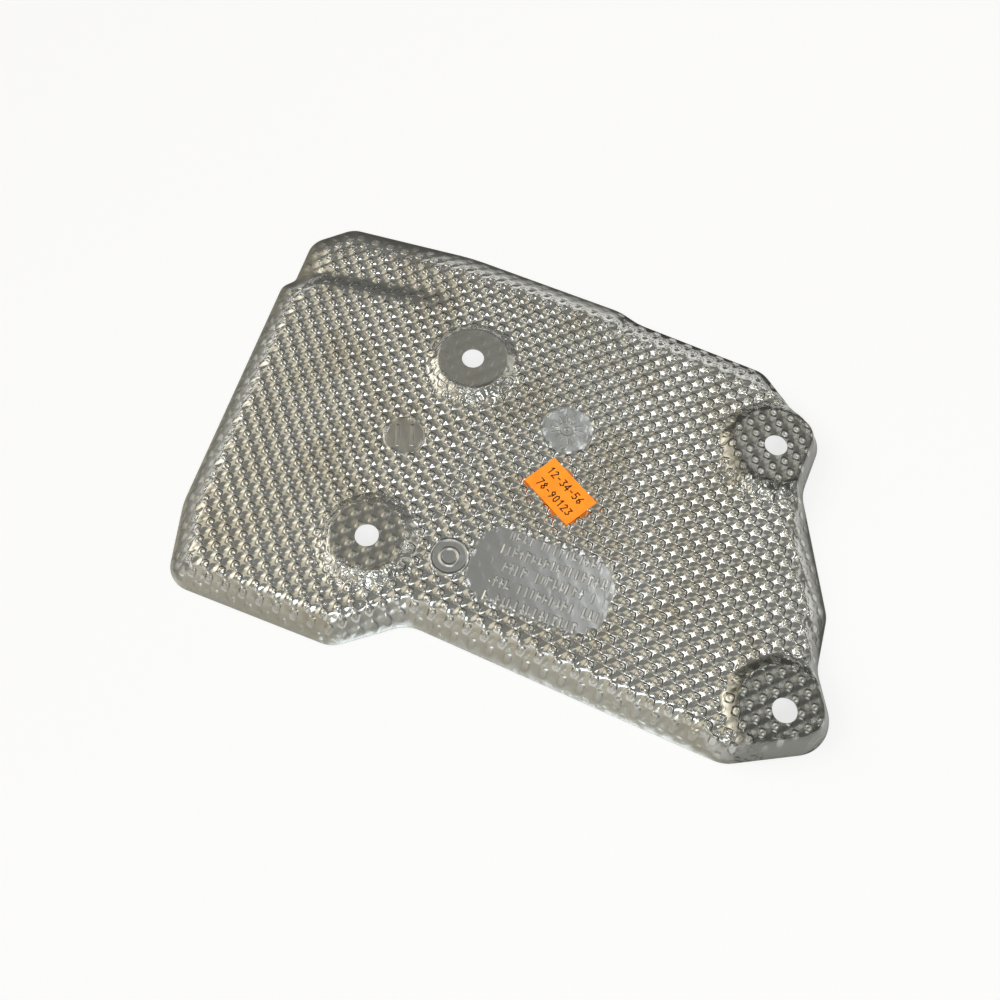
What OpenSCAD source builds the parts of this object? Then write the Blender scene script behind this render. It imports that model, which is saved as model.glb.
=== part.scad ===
// Exhaust heat shield: one pressed sheet of embossed aluminium with four raised bolt pads,
// lying on its turned-down rim, and the paper label stuck to it.
// Millimetres. Z is up, X runs along the long side, and the origin is under the middle at the rim.

/* [Sheet] */
// Thickness of the aluminium sheet
sheet_t = 0.5; // [0.3:0.05:1]
// Height of the embossed face above the rim, before the embossing is added
face_h = 8; // [5:0.5:14]
// Width over which the rim rolls down to the floor
rim_w = 12; // [8:0.5:16]
// Width of the rim along the long upper side
upper_rim_w = 16; // [10:0.5:20]
// Width of the rim around the two lugs on the right
lug_rim_w = 6; // [4:0.5:9]

/* [Embossing] */
// Distance from one boss to the next along a row
boss_pitch = 5.6; // [4.8:0.1:8]
// Distance from one row of bosses to the next, square to the row
row_pitch = 5.42; // [4.8:0.02:8]
// Sideways shift of each row against the row before it
row_shift = 0.57; // [-1:0.01:1]
// Direction of the rows of bosses, in degrees from X
row_angle = 24.4; // [15:0.1:32]
// Height from the bottom of the pits to the top of the bosses
boss_h = 1.3; // [0.4:0.1:2]
// How much of the embossing is left on the bolt pads, where the press flattened it
pad_boss_share = 0.35; // [0:0.05:1]
// How much of the embossing is left in the stamped fields
stamp_boss_share = 0.15; // [0:0.05:1]
// How much of the embossing is left at the edge of the rim
rim_boss_share = 0.3; // [0:0.05:1]

/* [Bolt pads] */
// Diameter of the bolt holes
bolt_hole_d = 9.5; // [6:0.5:12]
// Height of the pads above the embossed face
pad_h = 3.2; // [1:0.2:6]
// Radius of the flat top of the two inner pads
inner_pad_r = 14.5; // [11:0.5:18]
// Radius of the flat top of the two pads on the lugs
lug_pad_r = 17; // [13:0.5:20]
// Width of the sloping wall around a pad
pad_wall_w = 5; // [3:0.5:8]

/* [Press forms] */
// Depth of the step down towards the upper left corner
corner_step = 2.4; // [0:0.2:4]
// Width of the slope of that step
corner_step_w = 9; // [5:0.5:14]
// Angle by which the left part of the face falls away from the fold
fold_angle = 1.4; // [0:0.1:3]
// Radius of the round stamp near the middle
middle_stamp_r = 12.5; // [8:0.5:15]
// Radius of the round stamp on the left
left_stamp_r = 10; // [7:0.5:13]
// Length of the long stamped field
field_l = 62; // [40:1:70]
// Height of the long stamped field
field_h = 37; // [20:1:42]

/* [Label] */
// Length of the paper label
label_l = 26; // [15:0.5:34]
// Width of the paper label
label_w = 16; // [8:0.5:22]
// Thickness of the paper label
label_t = 0.15; // [0.1:0.05:0.5]
// Turn of the paper label, in degrees from X
label_angle = -50.8; // [-90:0.1:90]

/* [Hidden] */

// The corners of the sheet's outline, clockwise from the lower left one: x, y and rounding radius
CORNERS = [
    [-133.4, -53.5, 12], [-131.4, -19, 30], [-101.4, 90, 6], [-95.7, 93.4, 3.5], [-89.6, 115.4, 11],
    [-71, 123.4, 10], [-15, 107.6, 90], [52, 78.7, 22], [60.5, 71.8, 22], [113.8, 47, 12],
    [125.6, 25.8, 7], [135, 12.8, 14], [123.3, -12.5, 16], [126.2, -66, 14], [119.4, -87.5, 14],
    [123.2, -117.9, 15], [79.5, -123.1, 14], [-38.1, -70.3, 14], [-67.2, -79.3, 12]
];
// Angle between two points on a rounded corner
CORNER_STEP_ANGLE = 15;

// Bolt hole centres: two inside the face, then the two on the lugs
INNER_HOLES = [[-14.1, 45.6], [-54.7, -37.3]];
LUG_HOLES = [[111.4, 4.8], [101.5, -105.4]];
HOLES = concat(INNER_HOLES, LUG_HOLES);

// Where one boss stands; all the others follow from it
BOSS_ORIGIN = [86.95, -44.8];

// A point on the fold and its direction in degrees; the part to its left falls away
FOLD_POINT = [-2, 28];
FOLD_DIRECTION = 56;
// Half the width over which the fold is rounded
FOLD_ROUND = 8;

// A point on the foot of the corner step, the step's direction, and where it fades out along X
STEP_POINT = [-60, 82];
STEP_DIRECTION = -13;
STEP_FADE = [-15, -50];

// The upper rim widens and narrows over this stretch across the sheet
UPPER_RIM_FROM = 20;
UPPER_RIM_TO = 60;
// Reach of the narrow rim around a lug's bolt hole
LUG_RIM_REACH = [24, 36];

MIDDLE_STAMP = [25.5, 12.8];
LEFT_STAMP = [-41.9, 9.5];
FIELD_CENTRE = [13, -54];
FIELD_ANGLE = -21;
FIELD_CORNER_R = 14;
// Width over which the embossing fades out around a stamp
STAMP_FADE = 3;

LABEL_CENTRE = [21.9, -16.2];
// Gap between the label and the tops of the bosses under it
LABEL_GAP = 0.03;

// Pits keep this far from the edge of the sheet
EDGE_MARGIN = 4;
// The bolt holes are cut up to this height
BORE_REACH = 40;

ROW_DIR = [cos(row_angle), sin(row_angle)];
ROW_NORMAL = [-sin(row_angle), cos(row_angle)];

function clamp(x, lo, hi) = min(max(x, lo), hi);
// Smooth rise from 0 to 1 as x goes from a to b
function rise(a, b, x) = let (t = clamp((x - a) / (b - a), 0, 1)) t * t * (3 - 2 * t);
function mix(a, b, share) = a + (b - a) * share;
function unit(v) = v / norm(v);
function along(angle) = [cos(angle), sin(angle)];
function across(angle) = [-sin(angle), cos(angle)];
function cross_z(a, b) = a[0] * b[1] - a[1] * b[0];

// Points of one rounded corner at p, between its neighbours
function rounded(before, p, after) =
    let (
        c = [p[0], p[1]],
        to_before = unit([before[0], before[1]] - c),
        to_after = unit([after[0], after[1]] - c),
        opening = acos(clamp(to_before * to_after, -1, 1)),
        reach = p[2] / tan(opening / 2),
        start = c + to_before * reach,
        centre = c + unit(to_before + to_after) * p[2] / sin(opening / 2),
        side = sign(cross_z(-to_before, to_after)),
        turn = (180 - opening) * side,
        steps = ceil(abs(turn) / CORNER_STEP_ANGLE),
        spoke = start - centre
    )
    [for (i = [0 : steps]) let (w = turn * i / steps)
        centre + [spoke[0] * cos(w) - spoke[1] * sin(w), spoke[0] * sin(w) + spoke[1] * cos(w)]];

CORNER_COUNT = len(CORNERS);
OUTLINE = [for (i = [0 : CORNER_COUNT - 1])
    each rounded(CORNERS[(i + CORNER_COUNT - 1) % CORNER_COUNT], CORNERS[i], CORNERS[(i + 1) % CORNER_COUNT])];
EDGES = [for (i = [0 : len(OUTLINE) - 1]) [OUTLINE[i], OUTLINE[(i + 1) % len(OUTLINE)]]];

function edge_distance(p, edge) =
    let (
        run = edge[1] - edge[0],
        t = clamp((p - edge[0]) * run / (run * run), 0, 1)
    )
    norm(p - edge[0] - run * t);

// Distance of a point inside the sheet from its edge
function inset(p) = min([for (edge = EDGES) edge_distance(p, edge)]);

// How far a point belongs to the bolt pads: 1 on their tops, 0 outside their walls
function pad_share_at(p, hole, top_r) = 1 - rise(top_r, top_r + pad_wall_w, norm(p - hole));
function pad_share(p) = max(
    max([for (hole = INNER_HOLES) pad_share_at(p, hole, inner_pad_r)]),
    max([for (hole = LUG_HOLES) pad_share_at(p, hole, lug_pad_r)])
);
// The hole of the pad that is nearest to a point
function nearest_hole(p) =
    let (gaps = [for (hole = HOLES) norm(p - hole)])
    HOLES[search(min(gaps), gaps)[0]];

// Width of the rim near a point
function rim_width(p) =
    let (
        far_up = rise(UPPER_RIM_FROM, UPPER_RIM_TO, p * across(-20)),
        wide = mix(rim_w, upper_rim_w, far_up),
        lug_gap = min([for (hole = LUG_HOLES) norm(p - hole)])
    )
    mix(lug_rim_w, wide, rise(LUG_RIM_REACH[0], LUG_RIM_REACH[1], lug_gap));

// Share of the full height that the rim has at a point: 0 at the edge and 1 on the face
function rim_share(p, gap) = sin(90 * clamp(gap / rim_width(p), 0, 1));

// Height of the face without embossing, pads and rim
function fold_drop(p) =
    let (s = (p - FOLD_POINT) * across(FOLD_DIRECTION))
    tan(fold_angle) * (s > FOLD_ROUND ? s : s < -FOLD_ROUND ? 0 : pow(s + FOLD_ROUND, 2) / (4 * FOLD_ROUND));
function step_drop(p) =
    let (s = (p - STEP_POINT) * across(STEP_DIRECTION))
    corner_step * rise(0, corner_step_w, s) * rise(STEP_FADE[0], STEP_FADE[1], p[0]);
function face_z(p) = face_h - fold_drop(p) - step_drop(p);

// Height of the pressed form at a point that lies the given distance inside the edge
function form_z(p, gap) =
    let (pad = pad_share(p))
    mix(face_z(p), face_z(nearest_hole(p)) + pad_h, pad) * rim_share(p, gap);

// How far a point belongs to a stamped field, where the embossing is flattened
function round_stamp_share(p, centre, r) = 1 - rise(r - STAMP_FADE, r, norm(p - centre));
function field_share(p) =
    let (
        from = p - FIELD_CENTRE,
        local = [abs(from * along(FIELD_ANGLE)), abs(from * across(FIELD_ANGLE))],
        corner = local - [field_l / 2 - FIELD_CORNER_R, field_h / 2 - FIELD_CORNER_R],
        gap = norm([max(corner[0], 0), max(corner[1], 0)]) - FIELD_CORNER_R
    )
    1 - rise(-STAMP_FADE, 0, gap);
function stamp_share(p) = max(
    round_stamp_share(p, MIDDLE_STAMP, middle_stamp_r),
    round_stamp_share(p, LEFT_STAMP, left_stamp_r),
    field_share(p)
);

// Half the height of the embossing at a point
function boss_half(p, gap) =
    boss_h / 2
    * mix(1, pad_boss_share, pad_share(p))
    * mix(1, stamp_boss_share, stamp_share(p))
    * mix(rim_boss_share, 1, rim_share(p, gap));

// Positions along a row (u) and across the rows (v)
function to_uv(p) = [p * ROW_DIR, p * ROW_NORMAL];
function from_uv(q) = q[0] * ROW_DIR + q[1] * ROW_NORMAL;

OUTLINE_UV = [for (p = OUTLINE) to_uv(p)];
UV_EDGES = [for (i = [0 : len(OUTLINE_UV) - 1]) [OUTLINE_UV[i], OUTLINE_UV[(i + 1) % len(OUTLINE_UV)]]];
HEIGHTS = [for (q = OUTLINE_UV) q[1]];
LOWEST = OUTLINE_UV[search(min(HEIGHTS), HEIGHTS)[0]];
HIGHEST = OUTLINE_UV[search(max(HEIGHTS), HEIGHTS)[0]];

// Rows of pits lie halfway between the rows of bosses
ORIGIN_UV = to_uv(BOSS_ORIGIN);
FIRST_ROW = ceil((LOWEST[1] - ORIGIN_UV[1]) / row_pitch + 0.5);
LAST_ROW = floor((HIGHEST[1] - ORIGIN_UV[1]) / row_pitch + 0.5);
function row_v(k) = ORIGIN_UV[1] + (k - 0.5) * row_pitch;
function row_u(k) = ORIGIN_UV[0] + (k - 0.5) * row_shift + boss_pitch / 2;
function pit_uv(k, i) = [row_u(k) + i * boss_pitch, row_v(k)];

// A mesh point: its place along and across the rows, then its place in space, at the middle of the sheet
function face_point(q, up) =
    let (p = from_uv(q), gap = inset(p))
    [q, [p[0], p[1], form_z(p, gap) + up * boss_half(p, gap) + sheet_t / 2]];
function edge_point(q) = let (p = from_uv(q)) [q, [p[0], p[1], sheet_t / 2]];

// Where the line of a row crosses one edge of the outline
function meets(edge, v) = (edge[0][1] <= v) != (edge[1][1] <= v);
function crossing(edge, v) = [edge[0][0] + (edge[1][0] - edge[0][0]) * (v - edge[0][1]) / (edge[1][1] - edge[0][1]), v];

// One row: its left end, its right end, the number of its first pit, and its pits that stand clear of the edge
function make_row(k) =
    let (
        ends = [for (edge = UV_EDGES) if (meets(edge, row_v(k))) crossing(edge, row_v(k))],
        swapped = ends[0][0] > ends[1][0],
        left = ends[swapped ? 1 : 0],
        right = ends[swapped ? 0 : 1],
        lo = ceil((left[0] - row_u(k)) / boss_pitch),
        hi = floor((right[0] - row_u(k)) / boss_pitch),
        clear = [for (i = [lo : 1 : hi]) if (inset(from_uv(pit_uv(k, i))) >= EDGE_MARGIN) i],
        pits = len(clear) == 0 ? [] : [for (i = [clear[0] : 1 : clear[len(clear) - 1]]) face_point(pit_uv(k, i), -1)]
    )
    [left, right, clear[0], pits];
function row_left(row) = row[0];
function row_right(row) = row[1];
function row_v_of(row) = row[0][1];
function first_pit(row) = row[2];
function last_pit(row) = row[2] + len(row[3]) - 1;
function pit(row, i) = row[3][i - row[2]];
function pits(row, from, to) = [for (i = [from : 1 : to]) pit(row, i)];

// Rows that hold no pit lie in the corners of the rim and are left to the caps
ROWS = [for (k = [FIRST_ROW : LAST_ROW]) let (row = make_row(k)) if (len(row[3]) > 0) row];
FIRST = ROWS[0];
LAST = ROWS[len(ROWS) - 1];

// The outline from one height across the rows to another, on the left (-1) or the right (1) of u_mid
function side_run(low, high, side, u_mid) = concat([low],
    by_height([for (q = OUTLINE_UV) if (q[1] > low[1] && q[1] < high[1] && side * (q[0] - u_mid) > 0) q]), [high]);
function by_height(run) = len(run) < 2 ? run :
    let (pivot = run[floor(len(run) / 2)][1])
    concat(
        by_height([for (q = run) if (q[1] < pivot) q]),
        [for (q = run) if (q[1] == pivot) q],
        by_height([for (q = run) if (q[1] > pivot) q])
    );
// The number of the point of a run that lies furthest out
function outermost(run, side) =
    let (reach = [for (q = run) side * q[0]])
    search(max(reach), reach)[0];
// The two stretches of a run on either side of its outermost point, both from left to right
function low_stretch(run, side) =
    let (top = outermost(run, side))
    [for (i = [0 : top]) edge_point(run[side > 0 ? i : top - i])];
function high_stretch(run, side) =
    let (top = outermost(run, side), count = len(run) - 1 - top)
    [for (i = [0 : count]) edge_point(run[side > 0 ? len(run) - 1 - i : top + i])];

// Triangles that close the gap between two chains of mesh points, both running from left to right.
// Each edge of one chain is joined to a point of the other: the chain's last point before the edge's
// right end, or, on the left side of the sheet, its first point after the edge's left end.
function shared(u, chain) = len([for (m = chain) if (m[0][0] <= u) m]);
function passed(u, chain) = len([for (m = chain) if (m[0][0] < u) m]);
function zipped(low, high) = joined(low, high,
    [for (i = [0 : 1 : len(low) - 2]) max(0, shared(low[i + 1][0][0], high) - 1)],
    [for (i = [0 : 1 : len(high) - 2]) max(0, passed(high[i + 1][0][0], low) - 1)]);
function zipped_left(low, high) = joined(low, high,
    [for (i = [0 : 1 : len(low) - 2]) min(len(high) - 1, passed(low[i][0][0], high))],
    [for (i = [0 : 1 : len(high) - 2]) min(len(low) - 1, shared(high[i][0][0], low))]);
function joined(low, high, over_low, under_high) = concat(
    [for (i = [0 : 1 : len(low) - 2]) let (apex = high[over_low[i]])
        if (apex != low[i] && apex != low[i + 1]) [low[i], low[i + 1], apex]],
    [for (i = [0 : 1 : len(high) - 2]) let (apex = low[under_high[i]])
        if (apex != high[i] && apex != high[i + 1]) [high[i], apex, high[i + 1]]]
);

// Full cells with a boss in the middle of each
function cells(low, high, first, last) = [for (i = [first : 1 : last - 1])
    let (
        corners = [pit(low, i), pit(low, i + 1), pit(high, i + 1), pit(high, i)],
        boss = face_point((corners[0][0] + corners[2][0]) / 2, 1)
    )
    for (j = [0 : 3]) [corners[j], corners[(j + 1) % 4], boss]];

// The triangles between two neighbouring rows of pits
function strip(low, high) =
    let (
        first = max(first_pit(low), first_pit(high)),
        last = min(last_pit(low), last_pit(high)),
        u_mid = (row_left(low)[0] + row_right(low)[0] + row_left(high)[0] + row_right(high)[0]) / 4,
        left = side_run(row_left(low), row_left(high), -1, u_mid),
        right = side_run(row_right(low), row_right(high), 1, u_mid)
    )
    first > last
        ? zipped(
            concat(low_stretch(left, -1), low[3], low_stretch(right, 1)),
            concat(high_stretch(left, -1), high[3], high_stretch(right, 1)))
        : concat(
            zipped_left(
                concat(low_stretch(left, -1), pits(low, first_pit(low), first)),
                concat(high_stretch(left, -1), pits(high, first_pit(high), first))),
            cells(low, high, first, last),
            zipped(
                concat(pits(low, last, last_pit(low)), low_stretch(right, 1)),
                concat(pits(high, last, last_pit(high)), high_stretch(right, 1))));

// The caps between the outline's lowest or highest point and the nearest row
BOTTOM_LEFT = side_run(LOWEST, row_left(FIRST), -1, LOWEST[0]);
BOTTOM_RIGHT = side_run(LOWEST, row_right(FIRST), 1, LOWEST[0]);
BOTTOM_CAP = zipped(
    concat(low_stretch(BOTTOM_LEFT, -1), after_first(low_stretch(BOTTOM_RIGHT, 1))),
    concat(high_stretch(BOTTOM_LEFT, -1), FIRST[3], high_stretch(BOTTOM_RIGHT, 1)));
TOP_LEFT = side_run(row_left(LAST), HIGHEST, -1, HIGHEST[0]);
TOP_RIGHT = side_run(row_right(LAST), HIGHEST, 1, HIGHEST[0]);
TOP_CAP = zipped(
    concat(low_stretch(TOP_LEFT, -1), LAST[3], low_stretch(TOP_RIGHT, 1)),
    concat(high_stretch(TOP_LEFT, -1), after_first(high_stretch(TOP_RIGHT, 1))));
function after_first(chain) = [for (i = [1 : 1 : len(chain) - 1]) chain[i]];

TRIANGLES = concat(BOTTOM_CAP, [for (i = [0 : len(ROWS) - 2]) each strip(ROWS[i], ROWS[i + 1])], TOP_CAP);

// The edge of the sheet all the way round: the outline's points and the ends of the rows between them
function edge_stops(edge) =
    let (hits = [for (row = ROWS) if (meets(edge, row_v_of(row))) crossing(edge, row_v_of(row))])
    edge[1][1] > edge[0][1] ? hits : [for (i = [len(hits) - 1 : -1 : 0]) hits[i]];
RIM = [for (edge = UV_EDGES) each concat([edge[0]], edge_stops(edge))];

module pressed_sheet() {
    skin = [for (triangle = TRIANGLES) each [for (m = triangle) m[1]]];
    rim = [for (q = RIM) edge_point(q)[1]];
    half = [0, 0, sheet_t / 2];
    n = len(skin);
    m = len(rim);
    polyhedron(
        points = concat(
            [for (p = skin) p + half],
            [for (p = skin) p - half],
            [for (p = rim) p + half],
            [for (p = rim) p - half]
        ),
        faces = concat(
            [for (i = [0 : 3 : n - 3]) [i + 2, i + 1, i]],
            [for (i = [0 : 3 : n - 3]) [n + i, n + i + 1, n + i + 2]],
            [for (i = [0 : m - 1]) let (j = (i + 1) % m)
                each [[2 * n + j, 2 * n + i, 2 * n + m + i], [2 * n + j, 2 * n + m + i, 2 * n + m + j]]]
        )
    );
}

module heat_shield() {
    color([0.56, 0.56, 0.53])
    difference() {
        pressed_sheet();
        for (hole = HOLES)
            translate([hole[0], hole[1], 0])
            cylinder(h = BORE_REACH, d = bolt_hole_d);
    }
}

// Top of the bosses under the label
function label_seat() = face_z(LABEL_CENTRE) + boss_h / 2 + sheet_t + LABEL_GAP;

module paper_label() {
    color([1, 0.5, 0.1])
    translate([LABEL_CENTRE[0], LABEL_CENTRE[1], label_seat()])
    rotate(label_angle)
    linear_extrude(label_t)
    square([label_l, label_w], center = true);
}

heat_shield();
paper_label();
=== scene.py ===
"""Looks of a pressed, embossed aluminium exhaust heat shield that lies on a white studio floor.

The sheet is one mesh in the press form of the CAD part, with creases, and with a plain wave for the
embossing. Its finish gives the embossing its true form as bump, and adds the stamped marks, the crumples
and the fine scratches. Lengths are millimetres until they go to Blender.
"""

from __future__ import annotations

import logging
import math
from dataclasses import dataclass
from enum import Enum
from functools import cached_property

import bpy
import numpy as np
from mathutils import Matrix, Vector


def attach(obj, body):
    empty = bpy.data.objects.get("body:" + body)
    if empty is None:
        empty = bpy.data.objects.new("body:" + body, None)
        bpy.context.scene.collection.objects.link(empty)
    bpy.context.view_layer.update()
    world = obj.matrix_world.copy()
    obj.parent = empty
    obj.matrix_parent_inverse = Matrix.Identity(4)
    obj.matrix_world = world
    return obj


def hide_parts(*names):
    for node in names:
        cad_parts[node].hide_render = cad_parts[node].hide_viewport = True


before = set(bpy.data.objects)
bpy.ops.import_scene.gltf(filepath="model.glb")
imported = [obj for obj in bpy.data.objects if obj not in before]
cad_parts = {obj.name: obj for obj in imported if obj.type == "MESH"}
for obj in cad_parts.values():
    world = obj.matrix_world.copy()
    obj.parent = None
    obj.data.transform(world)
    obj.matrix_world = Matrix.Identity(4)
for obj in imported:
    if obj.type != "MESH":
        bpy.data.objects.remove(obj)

LOG = logging.getLogger("heat_shield")
MM = 0.001
TINY = 1e-9
Array = np.ndarray
Pair = tuple[float, float]
Triple = tuple[float, float, float]


# Plain geometry


def rise(low: float, high: float, x: Array) -> Array:
    """Rises smoothly from 0 at low to 1 at high.

    Args:
        low: Where the rise starts.
        high: Where it ends.
        x: The values to look at.

    Returns:
        The share risen at each value.
    """
    t = np.clip((x - low) / (high - low), 0.0, 1.0)
    return t * t * (3.0 - 2.0 * t)


def even_rise(low: float, high: float, x: Array, turn: float = 0.15) -> Array:
    """Rises from 0 at low to 1 at high in an even slope with rounded ends.

    Args:
        low: Where the rise starts.
        high: Where it ends.
        x: The values to look at.
        turn: Share of the way that each rounded end takes.

    Returns:
        The share risen at each value.
    """
    t = np.clip((x - low) / (high - low), 0.0, 1.0)
    near, far = np.minimum(t, turn), np.maximum(t - (1.0 - turn), 0.0)
    middle = np.clip(t, turn, 1.0 - turn) - turn
    return (near**2 / (2 * turn) + middle + far - far**2 / (2 * turn)) / (1.0 - turn)


def mix(first: Array | float, second: Array | float, share: Array | float) -> Array:
    """Goes from the first value to the second by a share.

    Args:
        first: Value at share 0.
        second: Value at share 1.
        share: How far to go.

    Returns:
        The mixed value.
    """
    return first + (second - first) * share


def heading(degrees: float) -> Array:
    """Gives the unit vector at an angle from X.

    Args:
        degrees: The angle.

    Returns:
        The vector.
    """
    return np.array([math.cos(math.radians(degrees)), math.sin(math.radians(degrees))])


def crosswise(degrees: float) -> Array:
    """Gives the unit vector square to a heading, on its left.

    Args:
        degrees: The heading's angle.

    Returns:
        The vector.
    """
    return heading(degrees + 90.0)


def grid_squares(number: Array) -> Array:
    """Lists the squares of a grid of points.

    Args:
        number: The number of each point, by column and row.

    Returns:
        The four point numbers of each square.
    """
    corners = (number[:-1, :-1], number[1:, :-1], number[1:, 1:], number[:-1, 1:])
    return np.stack(corners, -1).reshape(-1, 4)


@dataclass(frozen=True)
class Corner:
    """A rounded corner of the outline."""

    x: float
    y: float
    radius: float


@dataclass(frozen=True)
class Outline:
    """The edge of the sheet, from straight runs and rounded corners, clockwise."""

    corners: tuple[Corner, ...] = (
        Corner(-133.4, -53.5, 12),
        Corner(-131.4, -19, 30),
        Corner(-101.4, 90, 6),
        Corner(-95.7, 93.4, 3.5),
        Corner(-89.6, 115.4, 11),
        Corner(-71, 123.4, 10),
        Corner(-15, 107.6, 90),
        Corner(52, 78.7, 22),
        Corner(60.5, 71.8, 22),
        Corner(113.8, 47, 12),
        Corner(125.6, 25.8, 7),
        Corner(135, 12.8, 14),
        Corner(123.3, -12.5, 16),
        Corner(126.2, -66, 14),
        Corner(119.4, -87.5, 14),
        Corner(123.2, -117.9, 15),
        Corner(79.5, -123.1, 14),
        Corner(-38.1, -70.3, 14),
        Corner(-67.2, -79.3, 12),
    )
    arc_step: float = 5.0
    trim: float = 0.16
    touching: float = 1e-6
    chunk: int = 16000

    @cached_property
    def points(self) -> Array:
        """The rounded outline as points."""
        places = [np.array([c.x, c.y]) for c in self.corners]
        found = []
        for index, corner in enumerate(self.corners):
            here = places[index]
            back = places[index - 1] - here
            ahead = places[(index + 1) % len(places)] - here
            back /= np.linalg.norm(back)
            ahead /= np.linalg.norm(ahead)
            opening = math.acos(float(np.clip(back @ ahead, -1, 1)))
            start = here + back * corner.radius / math.tan(opening / 2)
            middle = (back + ahead) / np.linalg.norm(back + ahead)
            centre = here + middle * corner.radius / math.sin(opening / 2)
            turn = (math.pi - opening) * np.sign(ahead[0] * back[1] - ahead[1] * back[0])
            steps = math.ceil(abs(math.degrees(turn)) / self.arc_step)
            spoke = start - centre
            for step in range(steps + 1):
                w = turn * step / steps
                found.append(
                    centre
                    + [
                        spoke[0] * math.cos(w) - spoke[1] * math.sin(w),
                        spoke[0] * math.sin(w) + spoke[1] * math.cos(w),
                    ]
                )
        return np.array(found)

    def inset(self, places: Array) -> tuple[Array, Array]:
        """Measures how deep places lie inside the sheet.

        Args:
            places: Points in the plane.

        Returns:
            The depth of each point, negative outside, and the direction in which it grows.
        """
        start = self.points
        end = np.roll(start, -1, axis=0)
        run = end - start
        square = (run * run).sum(1)
        depth = np.empty(len(places))
        inward = np.empty((len(places), 2))
        for low in range(0, len(places), self.chunk):
            part = places[low : low + self.chunk]
            q = part[:, None, :]
            t = np.clip(((q - start) * run).sum(-1) / square, 0.0, 1.0)
            offset = q - start - t[..., None] * run
            gap = (offset * offset).sum(-1)
            best = gap.argmin(1)
            rows = np.arange(len(part))
            away = offset[rows, best]
            reach = np.sqrt(gap[rows, best])
            spans = (start[:, 1] <= q[..., 1]) != (end[:, 1] <= q[..., 1])
            rise_y = np.where(run[:, 1] == 0, 1.0, run[:, 1])
            at_x = start[:, 0] + (q[..., 1] - start[:, 1]) / rise_y * run[:, 0]
            inside = (spans & (q[..., 0] < at_x)).sum(1) % 2 == 1
            side = np.where(inside, 1.0, -1.0)
            edge = run[best] / np.sqrt(square[best])[:, None]
            square_on = np.stack([edge[:, 1], -edge[:, 0]], 1)
            clear = reach > self.touching
            away[clear] *= (side[clear] / reach[clear])[:, None]
            away[~clear] = square_on[~clear]
            depth[low : low + self.chunk] = side * reach - self.trim
            inward[low : low + self.chunk] = away
        return depth, inward


@dataclass(frozen=True)
class Lattice:
    """The rows of bosses. A cell has its boss at whole numbers and its pit halfway between them."""

    pitch: float = 5.6
    row_pitch: float = 5.42
    shift: float = 0.57
    angle: float = 24.4
    origin: Pair = (86.95, -44.8)

    def cell(self, places: Array) -> tuple[Array, Array]:
        """Turns places into cell coordinates.

        Args:
            places: Points in the plane.

        Returns:
            The coordinates along the rows and across them.
        """
        from_origin = places - np.array(self.origin)
        t = from_origin @ crosswise(self.angle) / self.row_pitch
        s = (from_origin @ heading(self.angle) - t * self.shift) / self.pitch
        return s, t

    def place(self, s: Array, t: Array) -> Array:
        """Turns cell coordinates into places."""
        along = (s * self.pitch + t * self.shift)[:, None] * heading(self.angle)
        return np.array(self.origin) + along + (t * self.row_pitch)[:, None] * crosswise(self.angle)

    def wave(self, places: Array) -> Array:
        """Gives the plain wave of the embossing, which the mesh holds."""
        s, t = self.cell(places)
        return (np.cos(2 * math.pi * s) + np.cos(2 * math.pi * t)) / 2


@dataclass(frozen=True)
class Pad:
    """A raised pad with a bolt hole in its middle."""

    x: float
    y: float
    radius: float
    boss_share: float = 0.35
    wall: float = 6.0
    boss_fade: Pair = (1.8, 7.2)
    top_edge: Pair = (-0.5, 1.5)
    hole_radius: float = 4.75

    def gap(self, places: Array) -> Array:
        """Measures how far places lie from the pad's middle."""
        return np.hypot(places[:, 0] - self.x, places[:, 1] - self.y)

    def top(self, places: Array) -> Array:
        """Tells how far places belong to the flat top of the pad."""
        return 1.0 - rise(*self.top_edge, self.gap(places) - self.radius)

    def share(self, places: Array) -> Array:
        """Tells how far places belong to the pad."""
        return 1.0 - even_rise(self.radius, self.radius + self.wall, self.gap(places))

    def boss_left(self, places: Array) -> Array:
        """Tells how much of the embossing the pad's press left."""
        return mix(self.boss_share, 1.0, rise(*self.boss_fade, self.gap(places) - self.radius))


@dataclass(frozen=True)
class Crease:
    """A ridge or a dent along a straight line."""

    start: Pair
    end: Pair
    width: float
    height: float

    def lift(self, places: Array) -> Array:
        """Gives the change of height at places.

        Args:
            places: Points in the plane.

        Returns:
            The height that the crease adds.
        """
        first = np.array(self.start)
        run = np.array(self.end) - first
        from_start = places - first
        t = np.clip(from_start @ run / (run @ run), 0.0, 1.0)
        gap = np.linalg.norm(from_start - t[:, None] * run, axis=1)
        return self.height * np.exp(-((gap / self.width) ** 2))


class Stamp(Enum):
    """The flattened fields on the face."""

    MIDDLE = "middle"
    LEFT = "left"
    LONG = "long"
    ROUND = "round"


@dataclass(frozen=True)
class StampShape:
    """Place and size of a stamped field: half lengths and corner radius."""

    x: float
    y: float
    angle: float
    half_length: float
    half_height: float
    corner: float
    fade: float = 3.0

    def share(self, places: Array) -> Array:
        """Tells how far places belong to the field.

        Args:
            places: Points in the plane.

        Returns:
            1 inside, 0 outside.
        """
        from_middle = places - np.array([self.x, self.y])
        along = np.abs(from_middle @ heading(self.angle)) - (self.half_length - self.corner)
        over = np.abs(from_middle @ crosswise(self.angle)) - (self.half_height - self.corner)
        gap = np.hypot(np.maximum(along, 0), np.maximum(over, 0)) - self.corner
        return 1.0 - rise(-self.fade, 0.0, gap)


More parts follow.
